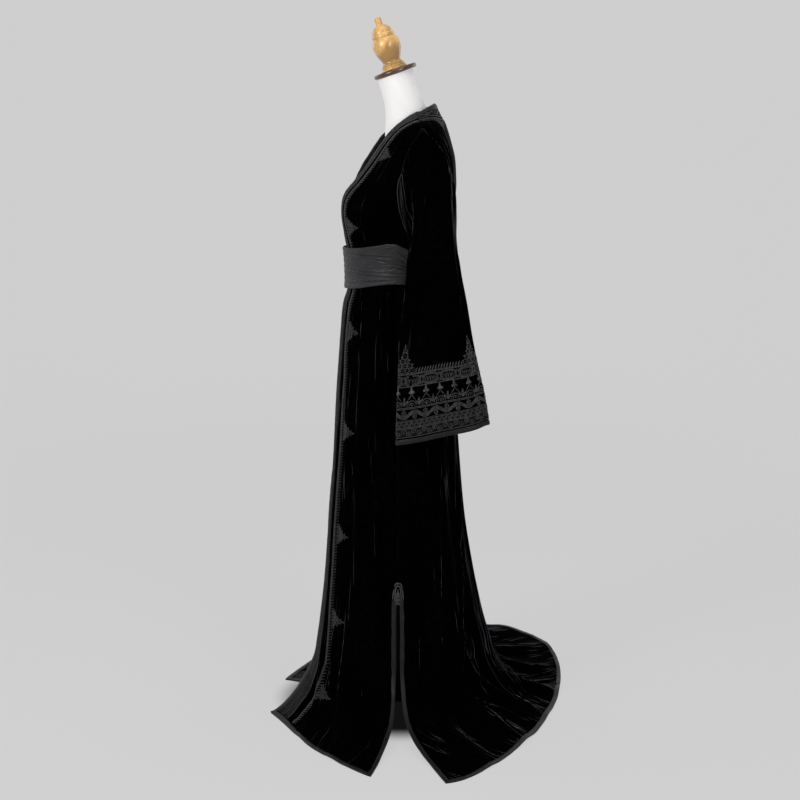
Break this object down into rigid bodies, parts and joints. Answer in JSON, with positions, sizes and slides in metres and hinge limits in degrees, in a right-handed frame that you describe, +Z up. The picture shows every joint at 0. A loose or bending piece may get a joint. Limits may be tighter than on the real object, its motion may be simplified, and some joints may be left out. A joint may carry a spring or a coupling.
{
  "type": "velvet caftan on a limbless dress form",
  "caption": "Long black velvet over-robe caftan with wide sleeves, satin sash, braided borders, side slits and a short train, shown on a limbless dress form with a turned neck finial.",
  "frame": {"origin": "middle of the underside of the stand's flat foot, on the floor under the pole", "axes": "+Z up; the wearer faces -Y; the wearer's left is +X"},
  "size_m": [1.257, 0.7886, 1.7924],
  "materials": {
    "velvet": "soft black pile with a faint sheen at the folds",
    "binding_satin": "dark grey satin bias binding",
    "sash_satin": "charcoal satin, finely pleated",
    "braid": "dark grey corded embroidery with a silky lustre",
    "jersey": "white knitted cover, matt",
    "dark_wood": "dark brown stained wood, satin varnish",
    "varnished_wood": "golden brown turned wood, gloss varnish",
    "iron": "black painted iron, matt"
  },
  "bodies": {
    "root": {"left_front": "velvet", "left_edge_binding": "binding_satin", "left_front_border": "braid", "left_front_trim": "braid", "left_front_hem_binding": "binding_satin", "left_slit_front_binding": "binding_satin", "right_front": "velvet", "right_edge_binding": "binding_satin", "right_front_border": "braid", "right_front_trim": "braid", "right_front_hem_binding": "binding_satin", "right_slit_front_binding": "binding_satin", "left_back": "velvet", "left_back_neck_binding": "binding_satin", "left_back_neck_border": "braid", "left_back_hem_binding": "binding_satin", "left_slit_back_binding": "binding_satin", "right_back": "velvet", "right_back_neck_binding": "binding_satin", "right_back_neck_border": "braid", "right_back_hem_binding": "binding_satin", "right_slit_back_binding": "binding_satin", "left_sleeve": "velvet", "left_cuff_binding": "binding_satin", "left_cuff_braid": "braid", "left_arm_piping": "binding_satin", "right_sleeve": "velvet", "right_cuff_binding": "binding_satin", "right_cuff_braid": "braid", "right_arm_piping": "binding_satin", "left_slit_knot": "braid", "right_slit_knot": "braid", "sash": "sash_satin", "form_torso": "jersey", "form_neck_flange": "dark_wood", "form_finial": "varnished_wood", "stand_pole": "dark_wood", "stand_foot": "iron"}
  },
  "joints": []
}
